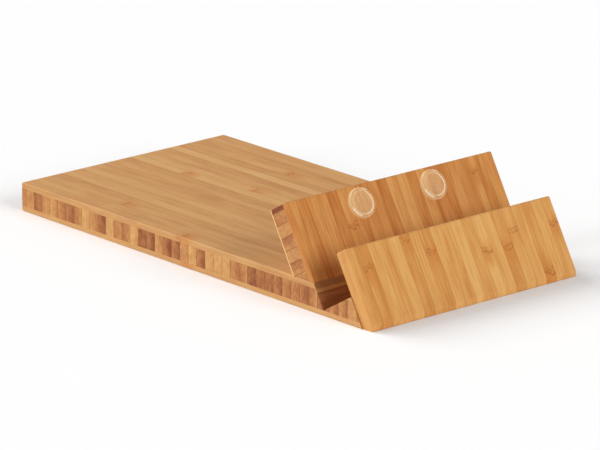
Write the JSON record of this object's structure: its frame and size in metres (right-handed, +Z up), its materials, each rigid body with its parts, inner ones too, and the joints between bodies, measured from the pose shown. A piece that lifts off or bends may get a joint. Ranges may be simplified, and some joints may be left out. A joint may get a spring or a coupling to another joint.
{
  "type": "hook-on tray",
  "caption": "Laminated bamboo board with a slanted slot between two leaning panels, so that it hooks over a sloping edge as a tray.",
  "frame": {"origin": "centre of the overall box, on the flat underside", "axes": "+X along the board towards the slot, +Y across the board, +Z up out of the board's top, on the side that the panels stand"},
  "size_m": [0.357, 0.18, 0.0672],
  "materials": {
    "board_bamboo": "satin lacquer",
    "core_bamboo": "satin lacquer on end grain",
    "inner_panel_bamboo": "satin lacquer",
    "outer_panel_bamboo": "satin lacquer",
    "dowel_wood": "raw",
    "bumper_clear": "clear, glossy",
    "adhesive_film": "clear film"
  },
  "bodies": {
    "root": {"tray_top_ply": "board_bamboo", "tray_core": "core_bamboo", "tray_bottom_ply": "board_bamboo", "heel_top_ply": "board_bamboo", "heel_strip_1": "core_bamboo", "heel_strip_2": "core_bamboo", "heel_strip_3": "core_bamboo", "heel_strip_4": "core_bamboo", "heel_strip_5": "core_bamboo", "inner_face_ply": "inner_panel_bamboo", "inner_back_ply": "inner_panel_bamboo", "inner_core_1": "core_bamboo", "inner_core_2": "core_bamboo", "inner_core_3": "core_bamboo", "inner_core_4": "core_bamboo", "inner_core_5": "core_bamboo", "inner_core_6": "core_bamboo", "inner_core_7": "core_bamboo", "outer_strip_01": "outer_panel_bamboo", "outer_strip_02": "outer_panel_bamboo", "outer_strip_03": "outer_panel_bamboo", "outer_strip_04": "outer_panel_bamboo", "outer_strip_05": "outer_panel_bamboo", "outer_strip_06": "outer_panel_bamboo", "outer_strip_07": "outer_panel_bamboo", "outer_strip_08": "outer_panel_bamboo", "outer_strip_09": "outer_panel_bamboo", "outer_strip_10": "outer_panel_bamboo", "outer_strip_11": "outer_panel_bamboo", "outer_strip_12": "outer_panel_bamboo", "outer_strip_13": "outer_panel_bamboo", "outer_strip_14": "outer_panel_bamboo", "outer_strip_15": "outer_panel_bamboo", "outer_strip_16": "outer_panel_bamboo", "outer_strip_17": "outer_panel_bamboo", "outer_strip_18": "outer_panel_bamboo", "outer_strip_19": "outer_panel_bamboo", "outer_strip_20": "outer_panel_bamboo", "inner_dowel_1": "dowel_wood", "inner_dowel_2": "dowel_wood", "inner_dowel_3": "dowel_wood", "outer_dowel_1": "dowel_wood", "outer_dowel_2": "dowel_wood", "outer_dowel_3": "dowel_wood", "outer_dowel_4": "dowel_wood", "bumper_left": "bumper_clear", "bumper_right": "bumper_clear", "adhesive_left": "adhesive_film", "adhesive_right": "adhesive_film"}
  },
  "joints": []
}
